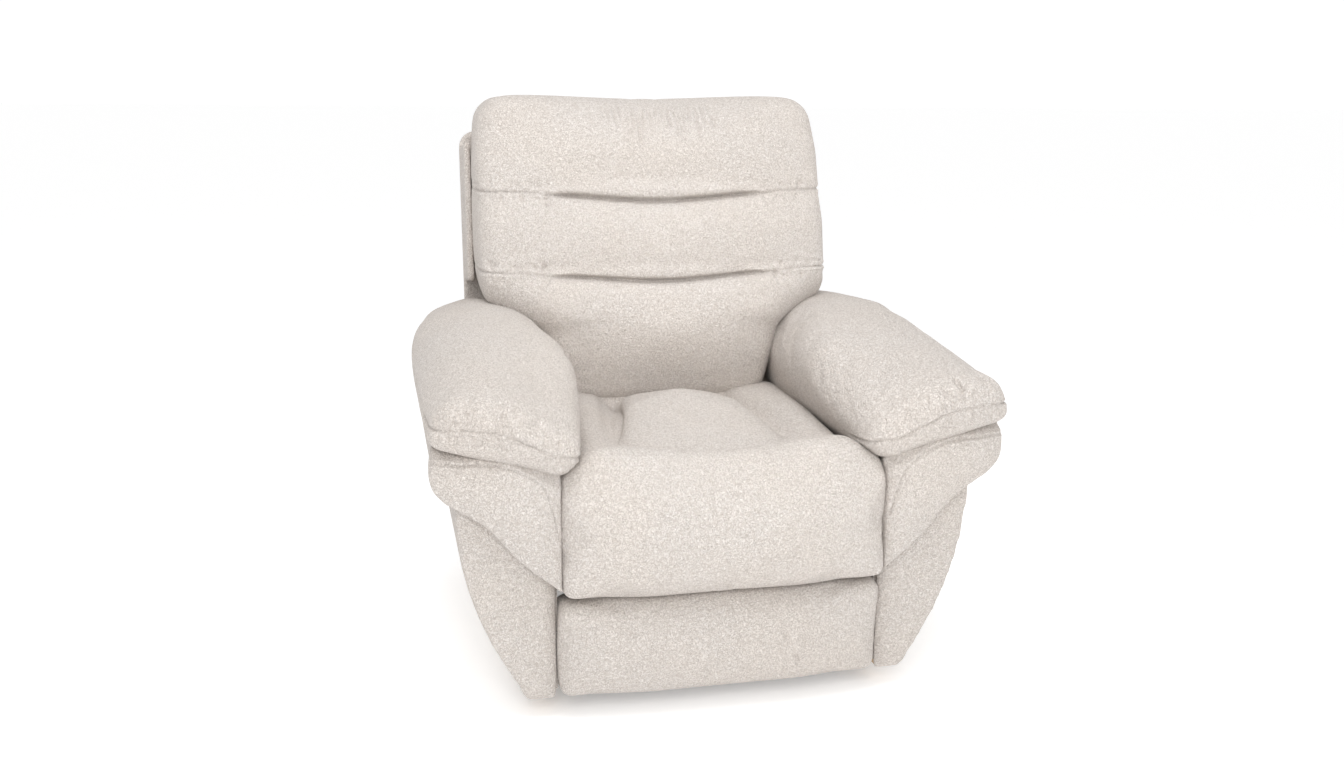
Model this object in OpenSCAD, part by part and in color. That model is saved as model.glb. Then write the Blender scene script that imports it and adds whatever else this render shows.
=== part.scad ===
// Manual recliner armchair. The chair faces -Y and the floor is z = 0.
// left and right are the sitter's own, so left lies towards +X.

/* [Overall] */
// Width over the arm pads
overall_w = 1000; // [940:1:1200]
// Depth from the arm fronts to the back of the shell
overall_d = 950; // [860:1:1140]
// Height of the top of the head pillow
overall_h = 1065; // [1000:1:1200]
// Clear width between the arms
seat_w = 568; // [520:1:620]
// Height of the front lip of the seat
seat_h = 473; // [450:1:530]

/* [Arms] */
// Height of the arm boxes, under the pads
arm_h = 494; // [480:1:540]
// Height of the highest point of the arm pads
pad_h = 649; // [620:1:680]
// Drop of the arm pad from its highest point to its front
pad_drop = 59; // [30:1:80]
// Rounding of the arm pads
pad_r = 52; // [40:1:60]
// Overhang of the arm pads past the inner boards
pad_inner = 34; // [20:1:36]
// Depth of the wing bolsters
wing_t = 36; // [20:1:50]
// Thickness of the upholstered side panels
panel_t = 16; // [8:1:22]
// Thickness of the arm boards
board_t = 12; // [9:1:18]

/* [Seat] */
// Radius of the rolled front lip
lip_r = 38; // [30:1:44]
// Thickness of the seat cushion at its front
cushion_t = 128; // [100:1:140]
// Depth of the seat frame
seat_frame_d = 535; // [480:1:560]
// Height of the seat frame rails
rail_h = 45; // [35:1:55]
// Thickness of the seat frame rails
rail_t = 18; // [14:1:22]
// Diameter of the seat spring wire
wire_d = 5; // [3:0.5:6]
// Number of seat springs
spring_count = 5; // [3:1:6]

/* [Back] */
// Half of the width of the back pillows above the arms
pillow_half = 365; // [340:1:370]
// Lean of the outer back from the vertical, in degrees
back_lean = 6.5; // [4:0.5:8]
// Thickness of the outer back shell
shell_t = 22; // [15:1:26]
// Thickness of the back posts
post_t = 30; // [20:1:34]
// Width of the back posts
post_w = 40; // [30:1:50]
// Height of the lower seam of the back
seam_low = 709; // [700:1:730]
// Height of the upper seam of the back
seam_high = 868; // [850:1:890]

/* [Mechanism] */
// Thickness of the steel plates and links
plate_t = 4; // [3:0.5:4.5]
// Radius of the main pivot pins
pin_r = 4; // [3:0.5:5]
// Radial running clearance of the pivots
pin_gap = 0.05; // [0.02:0.01:0.1]
// Half of the width of the links
link_r = 9; // [8:0.5:10]
// Forward travel of the seat
slide_travel = 60; // [40:1:70]
// Radius of the cross tubes
tube_r = 11; // [8:0.5:12]
// Height of the glides
glide_h = 34; // [20:1:40]

/* [Hidden] */
$fn = 48;
soft_fn = 24;

fabric = "antiquewhite";
timber = "burlywood";
steel = "dimgray";
plastic = "black";

gap = 0.5;
front_y = -overall_d / 2;
rear_y = overall_d / 2;
half_w = overall_w / 2;
half_seat = seat_w / 2;

// arm box, from its inner board outwards
board_x = half_seat + 6;
arm_front = front_y + 50;
cap_front = arm_front + wing_t;
cap_t = 12;
arm_rear = rear_y - 59;
box_front = cap_front + cap_t + 1;
box_rear = arm_rear - cap_t;
panel_z = 45;
base_board_z = glide_h;
glide_in = 95;
base_board_t = 15;
base_top = base_board_z + base_board_t;
top_board_t = 16;
top_board_z = arm_h - top_board_t;

// outline of the arm box: a rounded shelf, then a panel that tapers to the floor
shelf_z = 400;
shelf_x = half_w - 38;
foot_x = half_w - 153;
lip_curve = [[half_w, arm_h], [half_w + 4, arm_h - 60], [half_w - 14, shelf_z + 4], [shelf_x, shelf_z]];
taper_curve = [[shelf_x, shelf_z], [shelf_x, shelf_z - 140], [half_w - 80, 150], [foot_x, panel_z]];
wing_curve = [[shelf_x, shelf_z], [half_w - 90, shelf_z - 12], [half_w - 100, 300], [board_x - 2, 243]];

// arm pad
pad_rear = arm_rear - 119;
pad_crest_y = pad_rear - 233;
pad_front_r = pad_r + 3;
pad_tail_r = 32;
pad_out = half_w;
pad_in = board_x - 6 - pad_inner;

// pivot points, as [y, z]
lip = [front_y + 42 + lip_r, seat_h - lip_r];
calf_pin = lip + [52, -174];
brace = [62, -130];
ottoman_pin = lip + brace;
brace_pin = calf_pin + brace;
footrest_pin = lip + [45, -214];
crank_pin = calf_pin + [-7, 10.9];
tilt_pin = footrest_pin + [34.8, 6];
back_pin = [rear_y - 205, seat_h - 143];
back_link_top = back_pin + [-52.3, -26.9];
back_link_foot = back_pin + [-171.5, -190];
small_pin_r = pin_r - 1;
open_gap = 0.3;
crank_gap = 2.4;
back_link_gap = 4.1;

// mechanism planes: each is the inner face of one plate
frame_x = half_seat - 44;
plane_step = plate_t + 2;
plane0 = frame_x + gap;
plane1 = plane0 + plane_step;
plane2 = plane1 + plane_step;
plane3 = plane2 + plane_step;
plane4 = plane3 + plane_step;

// seat
seat_front = lip[0] + lip_r + 2;
rail_front = lip[0] + 60;
rail_rear = rail_front + seat_frame_d;
rail_top = seat_h - cushion_t - 15;
rail_z = rail_top - rail_h;
cushion_z = seat_h - cushion_t;
cushion_half = half_seat - 1;
cushion_rear = rail_rear - 10;
cushion_drop = 17;

// slide track and its shoes
track_z = rail_z - 85;
track_h = 40;
track_wall = 3;
track_front = rail_front + 95;
track_rear = track_front + 320;
track_out = board_x - 1;
shoe_l = 40;
shoe_gap = 0.5;
shoe_front = track_front + slide_travel + 10;
shoe_rear = track_rear - shoe_l - 10;

// calf panel and footrest
calf_half = half_seat - 5;
calf_front = lip[0] - lip_r;
calf_board_y = lip[0] + 23;
calf_board_t = 12;
calf_low = footrest_pin[1];
calf_r = 28;
footrest_board_y = calf_board_y + 17;
footrest_board_t = 12;
footrest_low = panel_z + 3;
footrest_r = 22;

// back, built in a frame that leans: v runs up the shell, u runs forwards from its rear face
shell_foot = [rear_y - 90, 190];
shell_top = overall_h - 80;
shell_l = (shell_top - shell_foot[1]) / cos(back_lean);
shell_half = pillow_half + 15;
wide_z = pad_h + 13;
wide_v = (wide_z - shell_foot[1]) / cos(back_lean);
wing_v = wide_v - 50;
shell_r = 35;
narrow_half = pad_in - 2;
foot_half = board_x - 6;
foot_v = (arm_h - 10 - shell_foot[1]) / cos(back_lean);
waist_half = pad_in + 8;
cheek_t = 14;
cheek_u = 150;
post_u = shell_t + 2;
post_v = 10;
post_l = shell_l - 95;
web_u = post_u + post_t + 1;
web_t = 3;
core_u = web_u + web_t + 3;

// release handle in the right arm pad
bezel_y = -163;
bezel_w = 86;
bezel_z = arm_h + 47;
bezel_h = 56;
bezel_d = 26;
bezel_wall = 4;
bezel_x = pad_in - 3;
tab_t = 8;
tab_w = 60;
tab_z = bezel_z + 26;
cable_r = 3;
cable_x = board_x + board_t + 14;
cable_y = bezel_y + 43;
clip_y = box_front + 40;
clip_z = 300;

// ---- helpers ----

function bezier(p, t) =
    pow(1 - t, 3) * p[0] + 3 * pow(1 - t, 2) * t * p[1] + 3 * (1 - t) * t * t * p[2] + pow(t, 3) * p[3];
function curve(p, steps = 10) = [for (i = [0 : steps]) bezier(p, i / steps)];
function tail(list) = [for (i = [1 : len(list) - 1]) list[i]];
function outer_line() = concat(curve(lip_curve, 8), tail(curve(taper_curve)));
// the line moved inwards and up by a wall t
function inset(list, t) = [for (p = list) [p[0] - t, min(arm_h, p[1] + 0.6 * t)]];
function reversed(list) = [for (i = [len(list) - 1 : -1 : 0]) list[i]];

// rear face of the space in front of the webbing, at height z
function core_y(z) = shell_foot[0] + (z - shell_foot[1]) * tan(back_lean) - core_u / cos(back_lean);

module side(s) {
    if (s > 0) children();
    else mirror([1, 0, 0]) children();
}

// extrude an [x, z] outline from y to y + depth
module along_y(y, depth) {
    translate([0, y + depth, 0])
        rotate([90, 0, 0])
            linear_extrude(depth) children();
}

// extrude a [y, z] outline from x to x + t
module along_x(x, t) {
    translate([x, 0, 0])
        rotate([90, 0, 90])
            linear_extrude(t) children();
}

// pin or bore along X, at the point p = [y, z]
module round_x(x, length, r, p) {
    translate([x, p[0], p[1]])
        rotate([0, 90, 0])
            cylinder(h = length, r = r);
}

module box(low, high) {
    translate(low) cube(high - low);
}

// soft roll: a hull of balls at [y, z, r], as wide as 2 * half
module roll(balls, half) {
    hull()
        for (b = balls, s = [-1, 1])
            translate([s * (half - b[2]), b[0], b[1]])
                sphere(r = b[2], $fn = soft_fn);
}

// outline of a bar with round ends at the points a and b
function bar(a, b, r) =
    let (d = b - a, turn = atan2(d[1], d[0]))
        concat([for (w = [90 : 15 : 270]) a + r * [cos(turn + w), sin(turn + w)]],
            [for (w = [-90 : 15 : 90]) b + r * [cos(turn + w), sin(turn + w)]]);

// flat link in the plane x, between the points a and b
module link(x, a, b, r) {
    along_x(x, plate_t) polygon(bar(a, b, r));
}

module through(x, r, p) {
    round_x(x - 1, plate_t + 2, r, p);
}

module leaning() {
    translate([0, shell_foot[0], shell_foot[1]])
        rotate([-back_lean, 0, 0])
            children();
}

// box in the leaning frame: half width, u from rear to front, v from low to high
module lean_box(x0, x1, u0, u1, v0, v1) {
    leaning() box([x0, -u1, v0], [x1, -u0, v1]);
}

// ---- base and arms ----

module glides() {
    color(plastic)
        for (s = [-1, 1], y = [box_front + glide_in, box_rear - 50])
            translate([s * (board_x + 26), y, 0])
                cylinder(h = glide_h, r1 = 15, r2 = 13);
}

module arm_base_board(s) {
    color(timber) side(s)
        box([board_x + board_t + gap, box_front, base_board_z], [foot_x - panel_t - 1, box_rear, base_top]);
}

module arm_inner_board(s) {
    color(timber) side(s)
        box([board_x, box_front, base_top], [board_x + board_t, box_rear, top_board_z]);
}

module arm_top_board(s) {
    color(timber) side(s)
        difference() {
            box([board_x, box_front, top_board_z], [half_w - panel_t - 6, box_rear, arm_h - gap]);
            if (s < 0) translate([cable_x, cable_y, top_board_z - 1]) cylinder(h = top_board_t + 2, r = cable_r + 2);
        }
}

module arm_formers(s) {
    line = [for (p = inset(outer_line(), panel_t + 2)) if (p[1] < top_board_z - 2 && p[1] > base_top + 2) p];
    inner_x = board_x + board_t + gap;
    color(timber) side(s)
        for (y = [box_front, (box_front + box_rear) / 2, box_rear - board_t - 1])
            along_y(y, board_t)
                polygon(concat([[inner_x, base_top + gap], [inner_x, top_board_z - gap]],
                    [[line[0][0], top_board_z - gap]], line, [[line[len(line) - 1][0], base_top + gap]]));
}

module side_panel(s) {
    line = outer_line();
    color(fabric) side(s) {
        along_y(cap_front + cap_t, arm_rear - cap_front - 2 * cap_t)
            polygon(concat(line, reversed(inset(line, panel_t))));
        for (y = [cap_front, arm_rear - cap_t])
            along_y(y, cap_t)
                polygon(concat(line, [[board_x, panel_z], [board_x, arm_h]]));
    }
}

module wing_bolster(s) {
    line = concat(curve(lip_curve, 8), tail(curve(wing_curve)));
    color(fabric) side(s)
        along_y(arm_front, wing_t - gap)
            polygon(concat(line, [[board_x - 2, arm_h - 2]]));
}

module pad_body() {
    stations = [
        [arm_rear - pad_tail_r - 2, arm_h + pad_tail_r + 1, pad_tail_r, pad_in + 20],
        [pad_rear - pad_r, pad_h - 14 - pad_r, pad_r, pad_in],
        [pad_rear - pad_r, arm_h + pad_r + 1, pad_r, pad_in],
        [pad_crest_y, pad_h - pad_r, pad_r, pad_in],
        [front_y + pad_front_r, pad_h - pad_drop - pad_front_r, pad_front_r, pad_in],
        [front_y + pad_r, arm_h + 1, pad_r, board_x - 2]
    ];
    hull()
        for (b = stations, x = [b[3] + b[2], pad_out - b[2]])
            translate([x, b[0], b[1]]) sphere(r = b[2], $fn = soft_fn);
}

module arm_pad(s) {
    far = overall_d;
    color(fabric) side(s)
        difference() {
            pad_body();
            box([0, arm_front - 1.5, 0], [overall_w, far, arm_h + gap]);
            if (s < 0) {
                box([bezel_x - 30, bezel_y - gap, bezel_z - gap],
                    [bezel_x + bezel_d + 16, bezel_y + bezel_w + gap, bezel_z + bezel_h + gap]);
                translate([cable_x, cable_y, arm_h - 1]) cylinder(h = bezel_z - arm_h + 6, r = cable_r + 2);
                box([bezel_x + bezel_d + 15, cable_y - 9, bezel_z - gap],
                    [cable_x + 9, cable_y + 9, tab_z + 24]);
            }
        }
}

module slide_track(s) {
    web_x = track_out - track_wall;
    inner_x = plane3 + plate_t + 2;
    foot = back_link_foot;
    color(steel) side(s) {
        box([web_x, track_front, track_z], [track_out, track_rear, track_z + track_h]);
        box([inner_x, track_front, track_z], [track_out, track_rear, track_z + track_wall]);
        box([inner_x, track_front, track_z + track_h - track_wall], [track_out, track_rear, track_z + track_h]);
        box([web_x, foot[0] - 18, foot[1]], [track_out, foot[0] + 18, track_z + track_h]);
        round_x(web_x, track_wall, 18, foot);
        round_x(plane2 - 1, web_x - plane2 + 2, pin_r + 1, foot);
    }
}

module cross_tube(y, z) {
    reach = board_x - gap / 5;
    color(steel) {
        round_x(-reach, 2 * reach, tube_r, [y, z]);
        for (s = [-1, 1]) side(s) box([reach - 3, y - 24, z - 18], [reach, y + 24, z + 22]);
    }
}

module front_cross_tube() {
    cross_tube(rail_front + 110, base_top + 26);
}

module rear_cross_tube() {
    cross_tube(box_rear - 75, base_top + 26);
}

module rear_rail() {
    color(timber)
        box([-board_x + gap, box_rear - rail_t - 1, base_top + 6], [board_x - gap, box_rear - 1, base_top + 116]);
}

module rear_skirt() {
    color(fabric)
        box([-board_x + gap, box_rear, panel_z], [board_x - gap, arm_rear, shell_foot[1] - 8]);
}

module frame_bolts() {
    head_r = 6;
    head_t = 4;
    places = [
        [track_front + 20, track_z + track_h / 2], [track_front + 160, track_z + track_h / 2],
        [track_rear - 12, track_z + track_h / 2],
        [rail_front + 94, base_top + 26], [rail_front + 126, base_top + 26],
        [box_rear - 91, base_top + 26], [box_rear - 59, base_top + 26]
    ];
    color(steel)
        for (s = [-1, 1], p = places)
            side(s) round_x(board_x + board_t, head_t, head_r, p);
}

// ---- release handle ----

module release_bezel() {
    w = bezel_wall;
    color(plastic) side(-1)
        difference() {
            box([bezel_x, bezel_y, bezel_z], [bezel_x + bezel_d, bezel_y + bezel_w, bezel_z + bezel_h]);
            box([bezel_x - 1, bezel_y + w, bezel_z + w],
                [bezel_x + bezel_d - w, bezel_y + bezel_w - w, bezel_z + bezel_h - w]);
            box([bezel_x, cable_y - 6, tab_z - 1], [bezel_x + bezel_d + 1, cable_y + 6, tab_z + tab_t + 16]);
        }
}

module release_tab() {
    depth = bezel_d - bezel_wall - 5;
    mid = bezel_y + bezel_w / 2;
    color(plastic) side(-1) {
        difference() {
            box([bezel_x + 3, mid - tab_w / 2, tab_z], [bezel_x + 3 + depth, mid + tab_w / 2, tab_z + tab_t]);
            round_y(bezel_x + 3 + depth / 2, mid - tab_w / 2 + 5, tab_w - 10, tab_z - 2, 4);
        }
        box([bezel_x + 3 + depth, cable_y - 4, tab_z + 1], [cable_x + 5, cable_y + 4, tab_z + tab_t - 1]);
    }
}

module round_y(x, y, length, z, r) {
    translate([x, y, z])
        rotate([-90, 0, 0])
            cylinder(h = length, r = r);
}

module release_cable() {
    bend = 60;
    drop = tab_z - 4;
    color(plastic) side(-1) {
        translate([cable_x, cable_y, clip_z + bend]) cylinder(h = drop - clip_z - bend, r = cable_r);
        translate([cable_x, cable_y - bend, clip_z + bend])
            rotate([90, 0, 90])
                rotate_extrude(angle = -90) translate([bend, 0]) circle(r = cable_r);
        round_y(cable_x, clip_y, cable_y - bend - clip_y, clip_z, cable_r);
        difference() {
            box([board_x + board_t, clip_y - 8, clip_z - 9], [cable_x + 9, clip_y, clip_z + 9]);
            box([board_x + board_t + 3, clip_y - 9, clip_z + 5], [cable_x + 10, clip_y + 1, clip_z + 10]);
        }
    }
}

// ---- seat carriage ----

module seat_side_plate(s) {
    low = track_z + 2;
    outline = [
        ottoman_pin + [-14, -4], ottoman_pin + [-4, -14], [shoe_front, low], [shoe_rear + shoe_l + 10, low],
        back_pin + [16, -8], back_pin + [6, 16], [back_pin[0] - 60, rail_top - 4], [rail_front + 40, rail_top - 4],
        ottoman_pin + [-4, 14], ottoman_pin + [-14, 4]
    ];
    color(steel) side(s) {
        difference() {
            union() {
                along_x(plane0, plate_t) polygon(outline);
                round_x(plane0, plate_t, 18, back_pin);
            }
            through(plane0, pin_r + pin_gap, back_pin);
        }
        round_x(plane0, plane1 + plate_t - plane0, pin_r, ottoman_pin);
    }
}

module slide_shoes() {
    x0 = plane0 + plate_t;
    x1 = track_out - track_wall - shoe_gap;
    low = track_z + track_wall + shoe_gap;
    high = track_z + track_h - track_wall - shoe_gap;
    color(plastic)
        for (s = [-1, 1], y = [shoe_front, shoe_rear])
            side(s) box([x0, y, low], [x1, y + shoe_l, high]);
}

module seat_side_rail(s) {
    color(timber) side(s)
        box([frame_x - rail_t, rail_front, rail_z], [frame_x, rail_rear, rail_top]);
}

module seat_cross_rail(y) {
    reach = frame_x - rail_t - gap / 5;
    color(timber) box([-reach, y, rail_z], [reach, y + rail_t, rail_top]);
}

module seat_front_rail() {
    seat_cross_rail(rail_front);
}

module seat_rear_rail() {
    seat_cross_rail(rail_rear - rail_t);
}

// one edge of a sinuous spring, set off by o from the middle of its wire
function spring_edge(w, p, rungs, o) = concat(
    [[-w, o]],
    [for (i = [0 : rungs - 2], a = [0 : 30 : 180])
        let (turn = i % 2 == 0 ? 1 : -1, r = p / 2 - turn * o)
            [turn * (w + r * sin(a)), (i + 0.5) * p - r * cos(a)]],
    [[w, (rungs - 1) * p + o]]
);

// sinuous springs, from the front rail to the rear rail
module seat_springs() {
    rungs = 15;
    half_rung = 16;
    pitch = (seat_frame_d - rail_t) / (rungs - 1);
    spacing = 2 * (frame_x - rail_t - 2 * half_rung) / spring_count;
    color(steel)
        for (k = [0 : spring_count - 1])
            translate([(k - (spring_count - 1) / 2) * spacing, rail_front + rail_t / 2, rail_top])
                linear_extrude(wire_d)
                    polygon(concat(spring_edge(half_rung, pitch, rungs, wire_d / 2),
                        reversed(spring_edge(half_rung, pitch, rungs, -wire_d / 2))));
}

module seat_cushion() {
    r = 40;
    color(fabric)
        roll([
            [seat_front + r, seat_h - r, r], [cushion_rear - r, seat_h - cushion_drop - r, r],
            [seat_front + r, cushion_z + r, r], [cushion_rear - r, cushion_z + r, r]
        ], cushion_half);
}

// ---- back ----

module back_bracket(s) {
    post_y = core_y(back_pin[1] + 100) + core_u - post_u - post_t;
    outline = [
        back_pin + [-14, 10], back_pin + [14, -12], [post_y + 20, back_pin[1] + 40],
        [post_y + 30, back_pin[1] + 180], [post_y + 4, back_pin[1] + 180], [post_y - 4, back_pin[1] + 70]
    ];
    color(steel) side(s) {
        difference() {
            union() {
                along_x(plane1, plate_t) polygon(outline);
                round_x(plane1, plate_t, 18, back_pin);
                link(plane1, back_pin, back_link_top, 12);
            }
            box([0, back_pin[0] - 200, 0], [plane1 - 1, back_pin[0] + 200, overall_h]);
        }
        lean_box(frame_x + 0.2, plane1 + plate_t, post_u + 3, post_u + post_t - 3, 175, 320);
        round_x(plane0 - 3, plane1 - plane0 + 4, pin_r, back_pin);
        round_x(plane1, plane2 + plate_t - plane1, small_pin_r, back_link_top);
    }
}

module back_post(s) {
    color(timber) side(s)
        lean_box(frame_x - post_w, frame_x, post_u, post_u + post_t, post_v, post_l);
}

module back_cross_rails() {
    reach = frame_x - post_w - gap / 5;
    rail_w = 60;
    color(timber)
        for (v = [post_v + 5, post_l / 2 - rail_w / 2, post_l - rail_w])
            lean_box(-reach, reach, post_u, post_u + post_t, v, v + rail_w);
}

module back_webbing() {
    straps = 5;
    strap_w = 50;
    first = 230;
    pitch = (post_l - first - strap_w) / (straps - 1);
    color("gray")
        for (i = [0 : straps - 1])
            lean_box(-frame_x + 3, frame_x - 3, web_u - 0.8, web_u - 0.8 + web_t,
                first + i * pitch, first + i * pitch + strap_w);
}

module back_shell() {
    corner = [shell_half - shell_r, shell_l - shell_r];
    color(fabric)
        union() {
            lean_box(-foot_half, foot_half, 0, shell_t, 0, foot_v);
            lean_box(-waist_half, waist_half, 0, shell_t, foot_v, wing_v);
            leaning()
                rotate([90, 0, 0])
                    linear_extrude(shell_t)
                        union() {
                            translate([-shell_half, wing_v]) square([2 * shell_half, corner[1] - wing_v]);
                            translate([-corner[0], wing_v]) square([2 * corner[0], shell_l - wing_v]);
                            for (s = [-1, 1]) translate([s * corner[0], corner[1]]) circle(r = shell_r);
                        }
            for (s = [-1, 1])
                side(s) lean_box(shell_half - cheek_t, shell_half, 0, cheek_u, wide_v, corner[1]);
        }
}

module pillow_lumbar() {
    low = seat_h - cushion_drop + 4;
    high = seam_low - 1;
    r = 45;
    front_low = core_y(low + r) - 305;
    edge_r = 22;
    color(fabric)
        union() {
            roll([
                [front_low + 55, low + 55, 55], [front_low + 70, high - 50, 50],
                [core_y(low + r) - r, low + r, r], [core_y(high - r) - r - 2, high - r, r]
            ], narrow_half);
            roll([
                [front_low + 92, high - edge_r, edge_r], [core_y(high - edge_r) - edge_r - 2, high - edge_r, edge_r]
            ], pillow_half);
        }
}

module pillow_middle() {
    low = seam_low;
    high = seam_high - 1;
    r = 40;
    front = core_y(low + r) - 294;
    color(fabric)
        roll([
            [front + r, low + r, r], [front + 30 + r, high - r, r],
            [core_y(low + r) - r - 2, low + r, r], [core_y(high - r) - r - 2, high - r, r]
        ], pillow_half);
}

module pillow_head() {
    low = seam_high;
    r = 46;
    front = core_y(low + r) - 240;
    top_r = 52;
    color(fabric)
        roll([
            [front + r, low + r + 2, r], [front + 118, overall_h - top_r, top_r],
            [rear_y - 29 - r, overall_h - 18 - r, r], [core_y(low + r) - r - 2, low + r, r]
        ], pillow_half);
}

module back_link(s) {
    color(steel) side(s)
        difference() {
            link(plane2, back_link_foot, back_link_top, 13);
            through(plane2, pin_r + 1 + pin_gap, back_link_foot);
            through(plane2, small_pin_r + back_link_gap, back_link_top);
        }
}

// ---- calf panel and footrest ----

module calf_board() {
    reach = plane1 + plate_t;
    color(timber)
        box([-reach, calf_board_y, calf_low + 13], [reach, calf_board_y + calf_board_t, lip[1] - 50]);
}

module calf_brackets() {
    face = calf_board_y + calf_board_t;
    outline = [
        [face, calf_pin[1] - 22], [face, lip[1] - 66], [face + 8, lip[1] - 66], [face + 8, calf_pin[1] + 20],
        calf_pin + [6, 8], calf_pin + [9, -4], footrest_pin + [9, 0], footrest_pin + [-4, 0]
    ];
    color(steel)
        for (s = [-1, 1])
            side(s) {
                difference() {
                    union() {
                        along_x(plane1, plate_t) polygon(outline);
                        round_x(plane1, plate_t, 10, calf_pin);
                        round_x(plane1, plate_t, link_r, footrest_pin);
                    }
                    through(plane1, pin_r + pin_gap, footrest_pin);
                }
                round_x(plane1, plane2 + plate_t - plane1, pin_r, calf_pin);
            }
}

module calf_pad() {
    low = calf_low + calf_r;
    color(fabric)
        difference() {
            roll([
                [lip[0], lip[1], lip_r], [calf_front - 2 + calf_r, (lip[1] + low) / 2, calf_r],
                [calf_front + 2 + calf_r, low, calf_r]
            ], calf_half);
            box([-half_w, calf_board_y - gap, 0], [half_w, 0, lip[1] - 45]);
        }
}

module footrest_board() {
    reach = plane4 + plate_t;
    color(timber)
        box([-reach, footrest_board_y, footrest_low + 12],
            [reach, footrest_board_y + footrest_board_t, footrest_pin[1] - 22]);
}

module footrest_brackets() {
    face = footrest_board_y + footrest_board_t;
    outline = [
        [face, footrest_low + 22], [face, footrest_pin[1] - 21], footrest_pin + [-link_r, 0], footrest_pin + [0, link_r],
        tilt_pin + [0, 8], tilt_pin + [8, 0], [face + 14, footrest_low + 50], [face + 8, footrest_low + 22]
    ];
    color(steel)
        for (s = [-1, 1])
            side(s) {
                along_x(plane4, plate_t) polygon(outline);
                round_x(plane4, plate_t, link_r, footrest_pin);
                round_x(plane4, plate_t, 8, tilt_pin);
                round_x(plane1, plane4 + plate_t - plane1, pin_r, footrest_pin);
                round_x(plane3, plane4 + plate_t - plane3, small_pin_r, tilt_pin);
            }
}

module footrest_pad() {
    r = footrest_r;
    y = footrest_board_y - gap - r;
    color(fabric)
        roll([
            [y, footrest_pin[1] - 47, r], [y - 5, (footrest_low + footrest_pin[1] - 47) / 2, r],
            [y, footrest_low + r - 3, r]
        ], calf_half);
}

module ottoman_link(s) {
    color(steel) side(s) {
        difference() {
            link(plane1, ottoman_pin, brace_pin, link_r + 1);
            through(plane1, pin_r + pin_gap, ottoman_pin);
        }
        round_x(plane1, plane2 + plate_t - plane1, pin_r, brace_pin);
    }
}

module ottoman_cross_tube() {
    color(steel)
        round_x(-plane1, 2 * plane1, tube_r - 2, ottoman_pin + 0.6 * (brace_pin - ottoman_pin));
}

module control_link(s) {
    color(steel) side(s) {
        difference() {
            union() {
                link(plane2, brace_pin, calf_pin, link_r);
                link(plane2, calf_pin, crank_pin, link_r);
            }
            through(plane2, pin_r + pin_gap, brace_pin);
            through(plane2, pin_r + open_gap, calf_pin);
        }
        round_x(plane2 + plate_t, plane3 - plane2, small_pin_r, crank_pin);
    }
}

module footrest_link(s) {
    color(steel) side(s)
        difference() {
            union() {
                link(plane3, tilt_pin, crank_pin, link_r - 2);
                round_x(plane3, plate_t, link_r, crank_pin);
            }
            through(plane3, small_pin_r + pin_gap, tilt_pin);
            through(plane3, small_pin_r + crank_gap, crank_pin);
        }
}

glides();
arm_base_board(1);  // arm_base_board_left
arm_base_board(-1);  // arm_base_board_right
arm_inner_board(1);  // arm_inner_board_left
arm_inner_board(-1);  // arm_inner_board_right
arm_top_board(1);  // arm_top_board_left
arm_top_board(-1);  // arm_top_board_right
arm_formers(1);  // arm_formers_left
arm_formers(-1);  // arm_formers_right
side_panel(1);  // side_panel_left
side_panel(-1);  // side_panel_right
wing_bolster(1);  // wing_bolster_left
wing_bolster(-1);  // wing_bolster_right
arm_pad(1);  // arm_pad_left
arm_pad(-1);  // arm_pad_right
slide_track(1);  // slide_track_left
slide_track(-1);  // slide_track_right
front_cross_tube();
rear_cross_tube();
rear_rail();
rear_skirt();
frame_bolts();
release_bezel();
release_cable();
release_tab();
seat_side_plate(1);  // seat_side_plate_left
seat_side_plate(-1);  // seat_side_plate_right
slide_shoes();
seat_side_rail(1);  // seat_side_rail_left
seat_side_rail(-1);  // seat_side_rail_right
seat_front_rail();
seat_rear_rail();
seat_springs();
seat_cushion();
back_bracket(1);  // back_bracket_left
back_bracket(-1);  // back_bracket_right
back_post(1);  // back_post_left
back_post(-1);  // back_post_right
back_cross_rails();
back_webbing();
back_shell();
pillow_lumbar();
pillow_middle();
pillow_head();
back_link(1);  // back_link_left
back_link(-1);  // back_link_right
calf_board();
calf_brackets();
calf_pad();
footrest_board();
footrest_brackets();
footrest_pad();
ottoman_link(1);  // ottoman_link_left
ottoman_link(-1);  // ottoman_link_right
ottoman_cross_tube();
control_link(1);  // control_link_left
control_link(-1);  // control_link_right
footrest_link(1);  // footrest_link_left
footrest_link(-1);  // footrest_link_right
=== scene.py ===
import math
import random

import bmesh
import bpy
import numpy as np
from mathutils import Matrix, Vector


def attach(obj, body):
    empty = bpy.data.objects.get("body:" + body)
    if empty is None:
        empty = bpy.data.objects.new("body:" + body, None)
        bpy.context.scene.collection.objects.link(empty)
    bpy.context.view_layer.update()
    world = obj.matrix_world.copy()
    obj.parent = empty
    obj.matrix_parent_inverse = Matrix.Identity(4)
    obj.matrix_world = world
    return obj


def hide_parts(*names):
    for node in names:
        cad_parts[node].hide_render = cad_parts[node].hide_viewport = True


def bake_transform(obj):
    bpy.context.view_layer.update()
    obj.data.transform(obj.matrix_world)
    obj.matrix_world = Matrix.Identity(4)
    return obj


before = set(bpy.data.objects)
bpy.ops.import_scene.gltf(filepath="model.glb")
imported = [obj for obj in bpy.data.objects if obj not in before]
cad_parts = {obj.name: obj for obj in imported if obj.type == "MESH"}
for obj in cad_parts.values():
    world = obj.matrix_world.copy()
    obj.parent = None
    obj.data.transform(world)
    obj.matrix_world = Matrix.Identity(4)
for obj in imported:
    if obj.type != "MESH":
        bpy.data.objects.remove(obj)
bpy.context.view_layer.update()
scene = bpy.context.scene


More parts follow.
